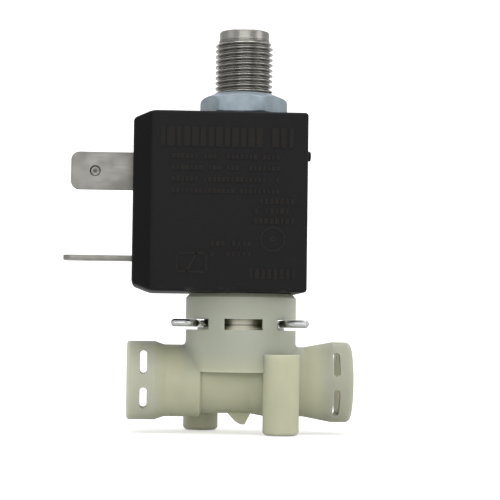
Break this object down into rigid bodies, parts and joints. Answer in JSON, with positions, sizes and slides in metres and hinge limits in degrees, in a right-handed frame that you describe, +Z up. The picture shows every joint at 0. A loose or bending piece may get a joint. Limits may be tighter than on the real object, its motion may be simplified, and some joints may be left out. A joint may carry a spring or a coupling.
{
  "type": "solenoid valve",
  "caption": "Small 3/2-way solenoid valve: moulded body with fork-fitting ports, wire-clipped armature tube, black encapsulated coil with blade terminals, threaded exhaust stud",
  "frame": {"origin": "on the valve axis, in the plane of the two screw bosses' lower faces", "axes": "+Z up along the valve axis to the exhaust stud; +X to the outlet port; -Y the front"},
  "size_m": [0.0486, 0.024, 0.0677],
  "materials": {
    "moulded_body": "glass-filled nylon, translucent greenish cream, satin",
    "coil_black": "black glass-filled encapsulation, matt with faint moulding texture",
    "bobbin_plastic": "natural nylon",
    "stainless": "turned ferritic stainless steel",
    "tube_steel": "drawn stainless steel",
    "zinc_nut": "bright blue-passivated zinc on steel",
    "spring_wire": "stainless spring wire",
    "tinned_tab": "tinned brass blade",
    "copper": "bare copper",
    "winding_copper": "enamelled copper wire, packed in layers",
    "tape": "polyester insulating tape",
    "yoke_steel": "bare mild steel strip",
    "seal_rubber": "fluorocarbon rubber"
  },
  "bodies": {
    "body": {"valve_body": "moulded_body", "retaining_clip": "spring_wire", "flange_oring": "seal_rubber"},
    "head": {"armature_tube": "tube_steel", "fixed_core": "stainless", "shading_ring": "copper", "coil_nut": "zinc_nut", "nut_washer": "zinc_nut", "plunger_spring": "spring_wire"},
    "coil": {"coil_moulding": "coil_black", "coil_bobbin": "bobbin_plastic", "coil_winding": "winding_copper", "winding_tape": "tape", "magnet_frame": "yoke_steel", "lower_flux_bush": "yoke_steel", "upper_flux_bush": "yoke_steel", "upper_terminal": "tinned_tab", "lower_terminal": "tinned_tab", "start_lead": "copper", "finish_lead": "copper"},
    "plunger": {"plunger_core": "stainless", "lower_seal": "seal_rubber", "seal_spring": "spring_wire"},
    "exhaust_seal": {"upper_seal": "seal_rubber"}
  },
  "joints": [
    {"name": "head_swivel", "type": "hinge", "parent": "body", "child": "head", "pos_m": [0, 0, 0.018], "axis": [0, 0, 1], "continuous": true},
    {"name": "coil_swivel", "type": "hinge", "parent": "head", "child": "coil", "pos_m": [0, 0, 0.038], "axis": [0, 0, 1], "continuous": true},
    {"name": "plunger_slide", "type": "slide", "parent": "head", "child": "plunger", "axis": [0, 0, 1], "range_m": [0, 0.0015], "stiffness_N_per_m": 300, "springref_m": -0.004, "deforming": ["plunger_spring"]},
    {"name": "exhaust_seal_slide", "type": "slide", "parent": "plunger", "child": "exhaust_seal", "axis": [0, 0, 1], "range_m": [-0.0004, 0], "stiffness_N_per_m": 150, "springref_m": 0.002, "deforming": ["seal_spring"]}
  ]
}
